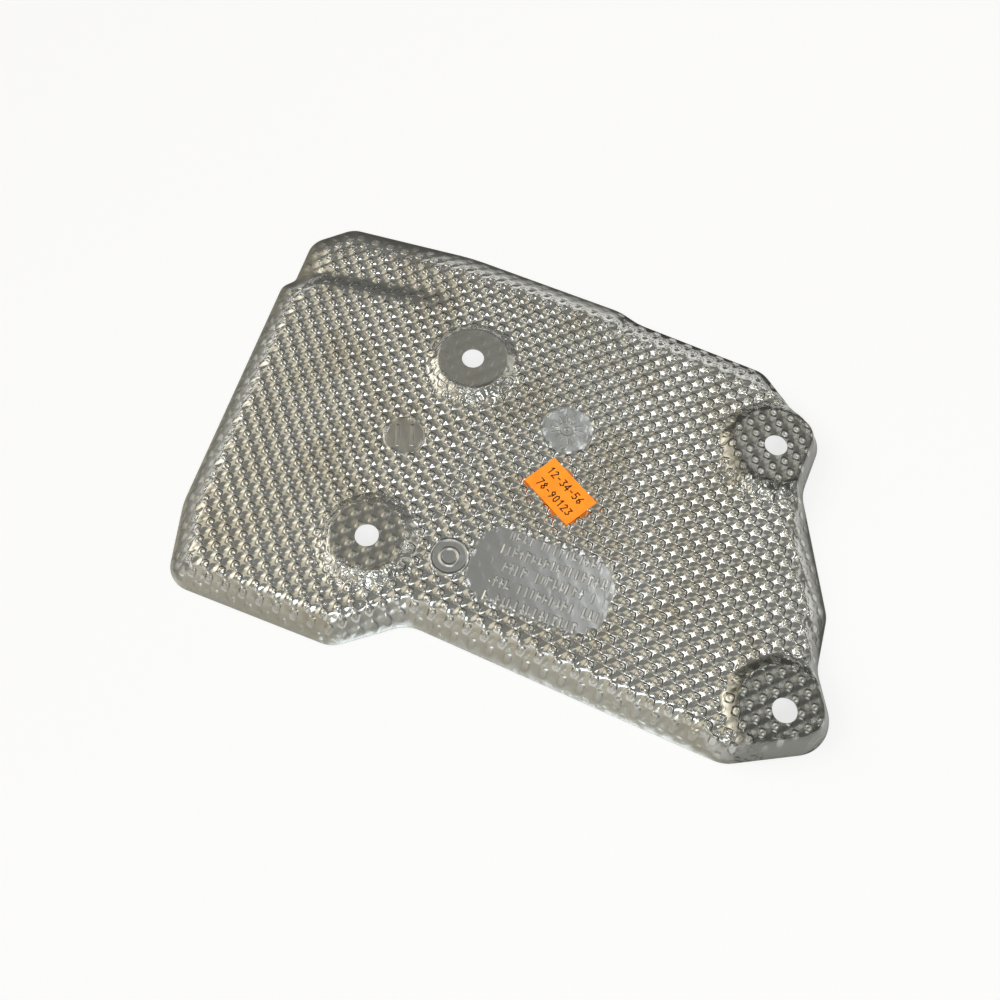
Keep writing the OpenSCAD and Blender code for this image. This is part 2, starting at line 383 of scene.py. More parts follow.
STAMPS = {
    Stamp.MIDDLE: StampShape(25.5, 12.8, 0.0, 12.5, 12.5, 12.5),
    Stamp.LEFT: StampShape(-41.9, 9.5, 0.0, 10.0, 10.0, 10.0),
    Stamp.LONG: StampShape(13.0, -54.0, -21.0, 31.0, 18.5, 14.0, 4.0),
    Stamp.ROUND: StampShape(-22.3, -44.8, 0.0, 9.5, 9.5, 9.5),
}


@dataclass(frozen=True)
class PressForm:
    """The form that the press gives the sheet. Its heights follow the CAD part."""

    outline: Outline = Outline()
    lattice: Lattice = Lattice()
    inner_pads: tuple[Pad, ...] = (Pad(-14.1, 45.6, 14.5, 0.07), Pad(-54.7, -37.3, 14.5, 0.35))
    lug_pads: tuple[Pad, ...] = (Pad(111.4, 4.8, 17.0, 0.35), Pad(101.5, -105.4, 17.0, 0.35))
    creases: tuple[Crease, ...] = (
        Crease((53.0, 70.5), (49.0, 58.0), 2.2, -1.1),
        Crease((56.5, 69.5), (52.5, 59.0), 1.6, 0.5),
        Crease((-70.5, -79.0), (-69.0, -71.0), 1.3, -0.5),
        Crease((-30.0, -34.0), (-12.0, -14.0), 3.0, -0.35),
        Crease((-21.0, -22.0), (-5.0, 10.0), 3.5, -0.45),
        Crease((86.0, -119.0), (101.0, -121.0), 1.6, -0.5),
    )
    sheet: float = 0.5
    face: float = 8.0
    rim: float = 12.0
    upper_rim: float = 16.0
    lug_rim: float = 6.0
    rim_flare: float = 0.45
    rim_foot: float = 0.25
    rim_bend: float = 0.6
    rim_samples: int = 201
    rim_turn: float = -20.0
    rim_turn_from: float = 20.0
    rim_turn_to: float = 60.0
    lug_reach: Pair = (24.0, 36.0)
    pad_height: float = 3.2
    boss_height: float = 1.3
    stamp_boss_share: float = 0.04
    step_boss_share: float = 0.25
    rim_boss_share: float = 0.05
    open_boss_share: float = 0.6
    open_x: Pair = (45.0, 60.0)
    open_y: Pair = (22.0, 36.0)
    edge_fade: float = 2.5
    fold_point: Pair = (-2.0, 28.0)
    fold_heading: float = 56.0
    fold_angle: float = 1.4
    fold_round: float = 8.0
    step_point: Pair = (-60.0, 82.0)
    step_heading: float = -13.0
    step_depth: float = 2.4
    step_width: float = 9.0
    step_fade: Pair = (-15.0, -50.0)
    step_edge: Pair = (-1.0, 3.0)

    @property
    def pads(self) -> tuple[Pad, ...]:
        """All four pads."""
        return self.inner_pads + self.lug_pads

    def pad_share(self, places: Array) -> Array:
        """Tells how far places belong to any pad."""
        return np.max([pad.share(places) for pad in self.pads], axis=0)

    def stamp_share(self, places: Array) -> Array:
        """Tells how far places belong to any stamped field."""
        return np.max([shape.share(places) for shape in STAMPS.values()], axis=0)

    @cached_property
    def rim_profile(self) -> tuple[Array, Array]:
        """The rim from its foot up: a flared foot, an even slope and a rounded bend to the face."""
        shares = np.linspace(0.0, 1.0, self.rim_samples)
        foot = 1.0 - self.rim_flare * (1.0 - rise(0.0, self.rim_foot, shares))
        slope = foot * (1.0 - rise(self.rim_bend, 1.0, shares))
        heights = np.concatenate([[0.0], np.cumsum((slope[1:] + slope[:-1]) / 2)])
        return shares, heights / heights[-1]

    def rim_share(self, places: Array, depth: Array) -> Array:
        """Gives the share of the full height that the rim leaves.

        Args:
            places: Points in the plane.
            depth: How deep they lie inside the sheet.

        Returns:
            0 at the edge, 1 on the face.
        """
        far_up = rise(self.rim_turn_from, self.rim_turn_to, places @ crosswise(self.rim_turn))
        wide = mix(self.rim, self.upper_rim, far_up)
        lug_gap = np.min([pad.gap(places) for pad in self.lug_pads], axis=0)
        width = mix(self.lug_rim, wide, rise(*self.lug_reach, lug_gap))
        shares, heights = self.rim_profile
        risen = np.interp(np.clip(np.abs(depth) / width, 0.0, 1.0), shares, heights)
        return np.sign(depth) * risen

    def base(self, places: Array) -> Array:
        """Gives the height of the face without pads, rim and embossing.

        Args:
            places: Points in the plane.

        Returns:
            The heights.
        """
        s = (places - np.array(self.fold_point)) @ crosswise(self.fold_heading)
        curved = (s + self.fold_round) ** 2 / (4 * self.fold_round)
        softened = np.where(s > self.fold_round, s, np.where(s < -self.fold_round, 0.0, curved))
        step = rise(0, self.step_width, self.past_step(places))
        step = step * rise(*self.step_fade, places[:, 0])
        return self.face - math.tan(math.radians(self.fold_angle)) * softened - self.step_depth * step

    def open_rim(self, places: Array) -> Array:
        """Tells how far places belong to the upper right, where the rim keeps its embossing."""
        return rise(*self.open_x, places[:, 0]) * rise(*self.open_y, places[:, 1])

    def past_step(self, places: Array) -> Array:
        """Measures how far places lie beyond the foot of the corner step."""
        return (places - np.array(self.step_point)) @ crosswise(self.step_heading)

    def step_band(self, places: Array) -> Array:
        """Tells how far places belong to the slope of the corner step."""
        past = np.abs(self.past_step(places) - self.step_width / 2) - self.step_width / 2
        return (1.0 - rise(*self.step_edge, past)) * rise(*self.step_fade, places[:, 0])

    def boss_half(self, places: Array, depth: Array) -> Array:
        """Gives half the height of the embossing.

        Args:
            places: Points in the plane.
            depth: How deep they lie inside the sheet.

        Returns:
            Half the height from pit to boss.
        """
        flat = np.min([pad.boss_left(places) for pad in self.pads], axis=0)
        flat = flat * mix(1.0, self.step_boss_share, self.step_band(places))
        flat = flat * mix(1.0, self.stamp_boss_share, self.stamp_share(places))
        rim = mix(self.rim_boss_share, self.open_boss_share, self.open_rim(places))
        flat = flat * mix(rim, 1.0, np.clip(self.rim_share(places, depth), 0, 1))
        return self.boss_height / 2 * flat * rise(0, self.edge_fade, depth)

    def smooth(self, places: Array, depth: Array) -> Array:
        """Gives the height of the middle of the sheet without the embossing.

        Args:
            places: Points in the plane.
            depth: How deep they lie inside the sheet.

        Returns:
            The heights.
        """
        gaps = np.array([pad.gap(places) for pad in self.pads])
        tops = self.base(np.array([[pad.x, pad.y] for pad in self.pads])) + self.pad_height
        face = mix(self.base(places), tops[gaps.argmin(0)], self.pad_share(places))
        creased = sum(crease.lift(places) for crease in self.creases)
        dents = creased * rise(0, self.edge_fade, depth)
        return face * self.rim_share(places, depth) + dents + self.sheet / 2

    def height(self, places: Array, depth: Array) -> Array:
        """Gives the height of the middle of the sheet."""
        return self.smooth(places, depth) + self.boss_half(places, depth) * self.lattice.wave(places)


@dataclass
class Skin:
    """One side of the sheet, as points in the plane and polygons that turn left."""

    places: Array
    polygons: list[tuple[int, ...]]

    def rim(self) -> list[tuple[int, int]]:
        """Finds the open edges."""
        sides = {(p[k - 1], p[k]) for p in self.polygons for k in range(len(p))}
        return [side for side in sides if (side[1], side[0]) not in sides]


@dataclass(frozen=True)
class SkinCutter:
    """Cuts a grid that follows the rows of bosses to the outline and the bolt holes."""

    form: PressForm
    splits_along: int = 6
    splits_across: int = 5
    snap: float = 0.2

    def depth(self, places: Array) -> tuple[Array, Array]:
        """Measures how deep places lie inside the metal, away from the edge and the holes.

        Args:
            places: Points in the plane.

        Returns:
            The depths, and the directions in which they grow.
        """
        depth, inward = self.form.outline.inset(places)
        for pad in self.form.pads:
            spoke = places - np.array([pad.x, pad.y])
            reach = np.maximum(np.linalg.norm(spoke, axis=1), TINY)
            closer = reach - pad.hole_radius < depth
            depth = np.where(closer, reach - pad.hole_radius, depth)
            inward = np.where(closer[:, None], spoke / reach[:, None], inward)
        return depth, inward

    def settle(self, places: Array) -> Array:
        """Moves places onto the nearest edge.

        Args:
            places: Points close to an edge.

        Returns:
            Points on it.
        """
        for _ in range(2):
            depth, inward = self.depth(places)
            places = places - depth[:, None] * inward
        return places

    def cut(self) -> Skin:
        """Makes the grid and cuts it.

        Returns:
            The skin of the sheet.
        """
        lattice = self.form.lattice
        s, t = lattice.cell(self.form.outline.points)
        along, across = (
            np.arange(math.floor(spot.min() * splits), math.ceil(spot.max() * splits) + 1)
            for spot, splits in ((s, self.splits_along), (t, self.splits_across))
        )
        grid_s, grid_t = np.meshgrid(along / self.splits_along, across / self.splits_across, indexing="ij")
        places = lattice.place(grid_s.ravel(), grid_t.ravel())
        depth, _ = self.depth(places)
        close = np.abs(depth) < self.snap
        places[close] = self.settle(places[close])
        depth[close] = 0.0
        quads = grid_squares(np.arange(len(places)).reshape(grid_s.shape))
        levels = depth[quads]
        inside = (levels > 0).any(1)
        crossed = inside & (levels < 0).any(1)
        polygons = [tuple(quad) for quad in quads[inside & ~crossed].tolist()]
        added: dict[tuple[int, int], int] = {}
        between: list[Array] = []
        for quad in quads[crossed].tolist():
            polygon = []
            for here, there in zip(quad, quad[1:] + quad[:1]):
                if depth[here] >= 0:
                    polygon.append(here)
                if depth[here] * depth[there] < 0:
                    key = (min(here, there), max(here, there))
                    if key not in added:
                        share = depth[here] / (depth[here] - depth[there])
                        added[key] = len(places) + len(between)
                        between.append(mix(places[here], places[there], share))
                    polygon.append(added[key])
            if len(polygon) >= 3:
                polygons.append(tuple(polygon))
        places = np.vstack([places, self.settle(np.array(between))])
        used = np.unique(np.concatenate([np.array(p) for p in polygons]))
        renumber = np.zeros(len(places), int)
        renumber[used] = np.arange(len(used))
        return Skin(places[used], [tuple(renumber[list(p)].tolist()) for p in polygons])


# Shader graphs


class Wire:
    """A value socket of a node tree that can be used in sums."""

    def __init__(self, graph: Graph, socket: bpy.types.NodeSocket) -> None:
        """Holds a socket and the graph that it stands in."""
        self.graph = graph
        self.socket = socket

    def math(self, operation: str, *others: Wire | float) -> Wire:
        """Adds a Math node that starts from this value."""
        return self.graph.node("ShaderNodeMath", {"operation": operation}, dict(enumerate((self, *others))))

    def __add__(self, other: Wire | float) -> Wire:
        """Adds."""
        return self.math("ADD", other)

    __radd__ = __add__

    def __mul__(self, other: Wire | float) -> Wire:
        """Multiplies."""
        return self.math("MULTIPLY", other)

    __rmul__ = __mul__

    def __sub__(self, other: Wire | float) -> Wire:
        """Subtracts."""
        return self.math("SUBTRACT", other)

    def __rsub__(self, other: float) -> Wire:
        """Subtracts from a number."""
        return -self + other

    def __truediv__(self, other: Wire | float) -> Wire:
        """Divides."""
        return self.math("DIVIDE", other)

    def __rtruediv__(self, other: float) -> Wire:
        """Divides a number."""
        return self.math("POWER", -1.0) * other

    def __pow__(self, other: float) -> Wire:
        """Raises to a power."""
        return self.math("POWER", other)

    def __neg__(self) -> Wire:
        """Changes the sign."""
        return self * -1.0

    def __abs__(self) -> Wire:
        """Drops the sign."""
        return self.math("ABSOLUTE")

    def rise(self, low: float, high: float, kind: str = "SMOOTHSTEP") -> Wire:
        """Rises smoothly from 0 at low to 1 at high; low may be the larger one."""
        ends = (0.0, 1.0) if low < high else (1.0, 0.0)
        inputs = dict(enumerate((self, min(low, high), max(low, high), *ends)))
        return self.graph.node("ShaderNodeMapRange", {"interpolation_type": kind}, inputs)

    def ramp(self, low: float, high: float) -> Wire:
        """Rises in a straight line from 0 at low to 1 at high."""
        return self.rise(low, high, "LINEAR")


Value = Wire | float | Triple | tuple[float, float, float, float]


class Graph:
    """A node tree under construction."""

    def __init__(self, tree: bpy.types.NodeTree) -> None:
        """Clears a tree."""
        self.tree = tree
        tree.nodes.clear()

    @classmethod
    def material(cls, name: str) -> tuple[Graph, bpy.types.Material]:
        """Starts a material.

        Args:
            name: The material's name.

        Returns:
            Its graph and the material.
        """
        made = bpy.data.materials.new(name)
        made.use_nodes = True
        return cls(made.node_tree), made

    def node(
        self, kind: str, settings: dict[str, object], inputs: dict[str | int, Value], out: str | int = 0
    ) -> Wire:
        """Adds any node.

        Args:
            kind: The node's type.
            settings: Attributes, set before the inputs.
            inputs: Values or wires by socket name or number.
            out: The output to return.

        Returns:
            That output.
        """
        made = self.tree.nodes.new(kind)
        for name, value in settings.items():
            setattr(made, name, value)
        for name, value in inputs.items():
            if isinstance(value, Wire):
                self.tree.links.new(value.socket, made.inputs[name])
            else:
                made.inputs[name].default_value = value
        return Wire(self, made.outputs[out])

    def vector(self, operation: str, *values: Value) -> Wire:
        """Adds a Vector Math node."""
        out = "Value" if operation in ("LENGTH", "DISTANCE", "DOT_PRODUCT") else "Vector"
        return self.node("ShaderNodeVectorMath", {"operation": operation}, dict(enumerate(values)), out)

    def scaled(self, colour: Value, share: Wire) -> Wire:
        """Scales a colour."""
        return self.node("ShaderNodeVectorMath", {"operation": "SCALE"}, {0: colour, "Scale": share})

    def blend(self, first: Value, second: Value, share: Wire | float) -> Wire:
        """Mixes two colours, which are inputs 6 and 7 and output 2 of a Mix node."""
        return self.node("ShaderNodeMix", {"data_type": "RGBA"}, {0: share, 6: first, 7: second}, 2)

    def millimetres(self) -> Wire:
        """Gives the place on the object in millimetres."""
        place = self.node("ShaderNodeTexCoord", {}, {}, "Object")
        return self.vector("MULTIPLY", place, (1 / MM, 1 / MM, 1 / MM))

    def part(self, vector: Wire, axis: str) -> Wire:
        """Takes the X, Y or Z of a vector."""
        return self.node("ShaderNodeSeparateXYZ", {}, {0: vector}, axis)

    def join(self, x: Value, y: Value, z: Value = 0.0) -> Wire:
        """Joins three values to a vector."""
        return self.node("ShaderNodeCombineXYZ", {}, {0: x, 1: y, 2: z})

    def attribute(self, name: str) -> Wire:
        """Reads a value kept on the mesh."""
        return self.node("ShaderNodeAttribute", {"attribute_name": name}, {}, "Fac")

    def bump(self, height: Wire, normal: Wire | None = None) -> Wire:
        """Adds a bump.

        Args:
            height: Its height in millimetres.
            normal: The normal to start from.

        Returns:
            The bumped normal.
        """
        inputs: dict[str | int, Value] = {"Height": height, "Distance": MM, "Strength": 1.0}
        if normal is not None:
            inputs["Normal"] = normal
        return self.node("ShaderNodeBump", {}, inputs)

    def surface(self, shader: Wire, kind: str = "ShaderNodeOutputMaterial") -> None:
        """Ends the graph."""
        self.tree.links.new(shader.socket, self.tree.nodes.new(kind).inputs["Surface"])


@dataclass(frozen=True)
class Grain:
    """A noise over the surface, about 0.5 on average."""

    size: float
    detail: float = 2.0
    rough: float = 0.5
    twist: float = 0.0

    def wire(self, graph: Graph, place: Wire) -> Wire:
        """Adds the noise to a graph.

        Args:
            graph: The graph to add to.
            place: The place in millimetres.

        Returns:
            The noise.
        """
        look = {"Detail": self.detail, "Roughness": self.rough, "Distortion": self.twist}
        inputs = {"Vector": place, "Scale": 1 / self.size, **look}
        return graph.node("ShaderNodeTexNoise", {"noise_dimensions": "3D"}, inputs)


def from_stamp(graph: Graph, place: Wire, stamp: Stamp) -> tuple[Wire, Wire]:
    """Measures places from the middle of a stamped field.

    Args:
        graph: The graph to add to.
        place: The place in millimetres.
        stamp: The field.

    Returns:
        The distances along the field and across it.
    """
    field = STAMPS[stamp]
    moved = graph.vector("SUBTRACT", place, (field.x, field.y, 0.0))
    axes = (heading(field.angle), crosswise(field.angle))
    along, across = (graph.vector("DOT_PRODUCT", moved, (*axis.tolist(), 0.0)) for axis in axes)
    return along, across


@dataclass(frozen=True)
class DialMark:
    """Plain raised ticks around two rings, in the middle stamp."""

    ticks: int = 14
    tick_middle: float = 5.0
    tick_reach: Pair = (2.0, 1.5)
    tick_half: Pair = (0.8, 0.2)
    tick_height: float = 0.22
    ring_middle: float = 2.0
    ring_apart: float = 1.2
    ring_half: float = 0.5
    ring_height: float = 0.16

    def height(self, graph: Graph, place: Wire) -> Wire:
        """Gives the height of the mark.

        Args:
            graph: The graph to add to.
            place: The place in millimetres.

        Returns:
            The height in millimetres.
        """
        x, y = from_stamp(graph, place, Stamp.MIDDLE)
        reach = graph.vector("LENGTH", graph.join(x, y))
        turn = (y.math("ARCTAN2", x) * (self.ticks / (2 * math.pi))).math("FRACT") - 0.5
        tick = (abs(turn) * reach).rise(*self.tick_half)
        tick = tick * abs(reach - self.tick_middle).rise(*self.tick_reach)
        rings = abs(abs(reach - self.ring_middle) - self.ring_apart).rise(self.ring_half, 0.0)
        return tick * self.tick_height + rings * self.ring_height


@dataclass(frozen=True)
class TwoBarMark:
    """Two plain raised bars in a faint ring, in the left stamp."""

    bar_middle: float = 3.0
    bar_half: Pair = (0.9, 0.4)
    bar_reach: Pair = (5.2, 4.6)
    bar_height: float = 0.3
    ring_middle: float = 8.4
    ring_half: Pair = (0.7, 0.2)
    ring_height: float = 0.1

    def height(self, graph: Graph, place: Wire) -> Wire:
        """Gives the height of the mark.

        Args:
            graph: The graph to add to.
            place: The place in millimetres.

        Returns:
            The height in millimetres.
        """
        x, y = from_stamp(graph, place, Stamp.LEFT)
        bar = abs(abs(x) - self.bar_middle).rise(*self.bar_half) * abs(y).rise(*self.bar_reach)
        reach = graph.vector("LENGTH", graph.join(x, y))
        ring = abs(reach - self.ring_middle).rise(*self.ring_half)
        return bar * self.bar_height + ring * self.ring_height


@dataclass(frozen=True)
class RingMark:
    """Two plain raised rings in the round stamp beside the long field."""

    radii: Pair = (7.4, 3.6)
    heights: Pair = (0.6, 0.5)
    half: Pair = (0.95, 0.1)

    def height(self, graph: Graph, place: Wire) -> Wire:
        """Gives the height of the mark.

        Args:
            graph: The graph to add to.
            place: The place in millimetres.

        Returns:
            The height in millimetres.
        """
        reach = graph.vector("LENGTH", graph.join(*from_stamp(graph, place, Stamp.ROUND)))
        outer, inner = (abs(reach - radius).rise(*self.half) for radius in self.radii)
        return outer * self.heights[0] + inner * self.heights[1]


@dataclass(frozen=True)
class BarRows:
    """Rows of plain raised bars in the long field, each bar picked by its place in the rows."""

    row_step: float = 6.9
    bar_step: float = 2.6
    row_shift: float = 0.37
    half_stroke: float = 0.2
    flank: float = 0.5
    post_spread: float = 0.9
    post_middle: float = -0.1
    post_half: float = 1.7
    post_more: float = 0.5
    beam_spread: float = 3.2
    beam_half: float = 0.8
    end: float = 0.3
    bare_posts: float = 0.14
    bare_beams: float = 0.4
    middle: float = 4.0
    half_length: float = 22.0
    half_height: float = 15.6
    edge: Pair = (0.5, -0.5)
    raised: float = 0.32
    pick_times: tuple[float, ...] = (3.0, 5.0, 7.0, 11.0, 13.0)

    def inside(self, x: Wire, y: Wire) -> Wire:
        """Tells which places the rows may cover."""
        along = (abs(x - self.middle) - self.half_length).rise(*self.edge)
        return along * (abs(y) - self.half_height).rise(*self.edge)

    def height(self, graph: Graph, place: Wire) -> Wire:
        """Gives the height of the bars.

        Args:
            graph: The graph to add to.
            place: The place in millimetres.

        Returns:
            The height in millimetres.
        """
        x, y = from_stamp(graph, place, Stamp.LONG)
        rows = y / self.row_step + 0.5
        row = rows.math("FLOOR")
        columns = x / self.bar_step + row * self.row_shift
        spot = graph.join(columns.math("FLOOR"), row)
        pick = graph.node("ShaderNodeTexWhiteNoise", {"noise_dimensions": "2D"}, {"Vector": spot})
        bare, post_pick, post_size, beam_pick, beam_bare = (
            (pick * times).math("FRACT") for times in self.pick_times
        )
        in_x = (columns.math("FRACT") - 0.5) * self.bar_step
        in_y = (rows.math("FRACT") - 0.5) * self.row_step
        tall = post_size * self.post_more + self.post_half
        post = abs(in_x + post_pick * self.post_spread + self.post_middle) - self.half_stroke
        beam = abs(in_y - beam_pick * self.beam_spread + self.beam_spread / 2) - self.half_stroke
        beam = beam.rise(self.flank, 0.0) * (abs(in_x) - self.beam_half).rise(self.end, 0.0)
        beam = beam * beam_bare.math("GREATER_THAN", self.bare_beams)
        mark = post.rise(self.flank, 0.0).math("MAXIMUM", beam) * (abs(in_y) - tall).rise(self.end, 0.0)
        kept = bare.math("GREATER_THAN", self.bare_posts)
        return mark * kept * self.inside(x, y) * self.raised


@dataclass(frozen=True)
class AluminiumFinish:
    """Embossed aluminium: sharp bosses and pits, stamped marks, crumples, stains, a dark colour that is
    partly wear and partly painted shade, and painted highlights on the stamped marks.
    """

    form: PressForm
    clean: Triple = (0.72, 0.72, 0.69)
    stained: Triple = (0.54, 0.51, 0.42)
    # Dark grey for the rims, pad tops, step band and left stamp: partly wear, partly painted shade on rims
    # that face away.
    wear_and_shade: Triple = (0.22, 0.22, 0.2)
    pressed: Triple = (0.55, 0.565, 0.56)
    # Painted highlight: a light colour on the raised stamped marks that stands in for their glints.
    painted_mark_highlight: Triple = (0.84, 0.84, 0.82)
    roughness: float = 0.17
    dull_roughness: float = 0.42
    star: float = 0.15
    star_edge: float = 0.02
    boss_shoulder: float = 0.6
    wall: float = 1.1
    boss_radius: float = 1.15
    crest_radius: float = 0.75
    crest: float = 0.2
    dimple: float = 0.37
    pit: float = 0.54
    saddle: float = 0.4
    embossed_rise: Pair = (0.12, 0.4)
    # Boss tops keep most of their clean colour inside the wear and painted shade, so they stay bright on
    # the dark lands.
    clear_top_reach: Pair = (1.7, 0.8)
    clear_top_share: float = 0.7
    mark_rise: Pair = (0.05, 0.2)
    sway: Grain = Grain(16.0)
    sway_height: float = 0.3
    folds: Grain = Grain(4.2, 1.0, 0.35, 1.4)
    fold_height: float = 1.1
    wrinkles: Grain = Grain(1.9, 1.0, 0.4, 1.0)
    wrinkle_height: float = 0.12
    fine: Grain = Grain(0.9, 3.0, 0.55)
    fine_height: float = 0.012
    streaks: Grain = Grain(0.5)
    streak_squash: Triple = (0.16, 1.0, 1.0)
    streak_height: float = 0.008
    cloud: Grain = Grain(28.0, 4.0, 0.6)
    cloud_rise: Pair = (0.42, 0.72)
    cloud_share: float = 0.6
    spots: Grain = Grain(5.0, 3.0, 0.6)
    spot_rise: Pair = (0.5, 0.75)
    spot_share: float = 0.3
    stain_roughness: float = 0.06

    def cell(self, graph: Graph, place: Wire) -> tuple[Wire, Wire]:
        """Turns a place into cell coordinates.

        Args:
            graph: The graph to add to.
            place: The place in millimetres.

        Returns:
            The coordinates along the rows and across them.
        """
        lattice = self.form.lattice
        along, across = heading(lattice.angle), crosswise(lattice.angle)
        moved = graph.vector("SUBTRACT", place, (*lattice.origin, 0.0))
        t = graph.vector("DOT_PRODUCT", moved, (*across.tolist(), 0.0)) / lattice.row_pitch
        u = graph.vector("DOT_PRODUCT", moved, (*along.tolist(), 0.0))
        return (u - t * lattice.shift) / lattice.pitch, t

    def reach(self, graph: Graph, s: Wire, t: Wire) -> Wire:
        """Measures the distance to the nearest boss.

        Args:
            graph: The graph to add to.
            s: Coordinate along the rows.
            t: Coordinate across the rows.

        Returns:
            The distance in millimetres.
        """
        lattice = self.form.lattice
        ds = (s + 0.5).math("FRACT") - 0.5
        dt = (t + 0.5).math("FRACT") - 0.5
        offset = graph.join(ds * lattice.pitch + dt * lattice.shift, dt * lattice.row_pitch)
        return graph.vector("LENGTH", offset)

    def embossed(self, graph: Graph) -> Wire:
        """Tells where the embossing was kept: 1 there, 0 where it was pressed flat."""
        return (graph.attribute("boss_half") * (2.0 / self.form.boss_height)).rise(*self.embossed_rise)

    def relief(self, graph: Graph, place: Wire) -> Wire:
        """Gives the true form of the embossing, of which the mesh holds a plain wave.

        Args:
            graph: The graph to add to.
            place: The place in millimetres.

        Returns:
            The height in millimetres.
        """
        s, t = self.cell(graph, place)
        along, across = (s * (2 * math.pi)).math("COSINE"), (t * (2 * math.pi)).math("COSINE")
        wave = (along + across) * 0.5
        near_star = 0.5 - (along - across) * 0.25
        lower = -wave - near_star * self.star
        lower = (lower + (lower * lower + self.star_edge**2) ** 0.5) * (0.5 / (1.0 - self.star / 2))
        dish = (1.0 - (1.0 - lower).math("MAXIMUM", 0.0) ** 0.5) * self.pit
        wall = (wave + (1.0 - near_star) * self.star).ramp(self.star, self.boss_shoulder) * self.wall
        saddle = (1.0 - near_star) * wave * self.saddle
        reach = self.reach(graph, s, t)
        crest = reach.ramp(self.boss_radius, self.crest_radius) * self.crest
        dimple = reach.ramp(self.crest_radius, 0.0) * self.dimple
        tops = (crest - dimple) * self.embossed(graph)
        return (wall + saddle - dish + tops) * graph.attribute("boss_half")

    def normal(self, graph: Graph, place: Wire, marks: Wire) -> Wire:
        """Gives the bumped normal.

        Args:
            graph: The graph to add to.
            place: The place in millimetres.
            marks: The height of the stamped marks.

        Returns:
            The normal.
        """
        crumpled = self.folds.wire(graph, place) * self.fold_height
        crumpled = crumpled + self.wrinkles.wire(graph, place) * self.wrinkle_height
        sway = self.sway.wire(graph, place) * self.sway_height
        squashed = graph.vector("MULTIPLY", place, self.streak_squash)
        streaks = self.streaks.wire(graph, squashed) * graph.attribute("flat") * self.streak_height
        normal = graph.bump(self.relief(graph, place) + marks)
        normal = graph.bump(sway + crumpled * graph.attribute("crumple"), normal)
        return graph.bump(self.fine.wire(graph, place) * self.fine_height + streaks, normal)

    def build(self) -> bpy.types.Material:
        """Makes the material.

        Returns:
            The material.
        """
        graph, made = Graph.material("embossed_aluminium")
        place = graph.millimetres()
        # Wear and painted shade, less on the boss tops.
        clear_tops = self.reach(graph, *self.cell(graph, place)).rise(*self.clear_top_reach) * self.embossed(graph)
        wear_and_shade = graph.attribute("wear_and_shade") * (1.0 - clear_tops * self.clear_top_share)
        marks = DialMark().height(graph, place) + TwoBarMark().height(graph, place)
        marks = marks + RingMark().height(graph, place) + BarRows().height(graph, place)
        cloud = self.cloud.wire(graph, place).rise(*self.cloud_rise) * self.cloud_share
        spots = self.spots.wire(graph, place).rise(*self.spot_rise) * self.spot_share
        stain = (cloud + spots).math("MINIMUM", 1.0)
        pressed = graph.attribute("pressed")
        colour = graph.blend((*self.clean, 1.0), (*self.stained, 1.0), stain)
        colour = graph.blend(colour, (*self.pressed, 1.0), pressed)
        # Darkens the metal by the wear and painted shade.
        colour = graph.blend(colour, (*self.wear_and_shade, 1.0), wear_and_shade)
        # Painted highlight on the raised stamped marks.
        colour = graph.blend(colour, (*self.painted_mark_highlight, 1.0), marks.rise(*self.mark_rise) * pressed)
        rough = graph.attribute("flat") * (self.dull_roughness - self.roughness) + self.roughness
        rough = rough + stain * self.stain_roughness
        normal = self.normal(graph, place, marks)
        inputs = {"Base Color": colour, "Metallic": 1.0, "Roughness": rough, "Normal": normal}
        graph.surface(graph.node("ShaderNodeBsdfPrincipled", {}, inputs))
        return made


@dataclass(frozen=True)
class PaperFinish:
    """Matt fluorescent orange paper, faintly marked by the bosses under it, with a painted glow that stands
    in for its fluorescence.
    """

    colour: Triple = (1.0, 0.3, 0.014)
    faded: Triple = (0.96, 0.2, 0.008)
    roughness: float = 0.55
    # Painted glow: emission that stands in for the paper's fluorescence and shines the same under any lamp.
    glow: float = 0.55
    tone: Grain = Grain(7.0, 3.0, 0.6)
    tone_rise: Pair = (0.35, 0.7)
    waves: Grain = Grain(2.8)
    wave_height: float = 0.12
    fibres: Grain = Grain(0.3)
    fibre_height: float = 0.01

    def build(self) -> bpy.types.Material:
        """Makes the material.

        Returns:
            The material.
        """
        graph, made = Graph.material("orange_paper")
        place = graph.millimetres()
        tone = self.tone.wire(graph, place).rise(*self.tone_rise)
        colour = graph.blend((*self.colour, 1.0), (*self.faded, 1.0), tone)
        waves = self.waves.wire(graph, place) * self.wave_height
        normal = graph.bump(waves + self.fibres.wire(graph, place) * self.fibre_height)
        inputs = {"Base Color": colour, "Roughness": self.roughness, "Normal": normal}
        # Painted glow of the fluorescent paper.
        inputs |= {"Emission Color": (*self.colour, 1.0), "Emission Strength": self.glow}
        graph.surface(graph.node("ShaderNodeBsdfPrincipled", {}, inputs))
        return made


@dataclass(frozen=True)
class InkFinish:
    """Black ink."""

    colour: Triple = (0.03, 0.015, 0.01)
    roughness: float = 0.6

    def build(self) -> bpy.types.Material:
        """Makes the material.

        Returns:
            The material.
        """
        graph, made = Graph.material("black_ink")
        inputs = {"Base Color": (*self.colour, 1.0), "Roughness": self.roughness}
        graph.surface(graph.node("ShaderNodeBsdfPrincipled", {}, inputs))
        return made


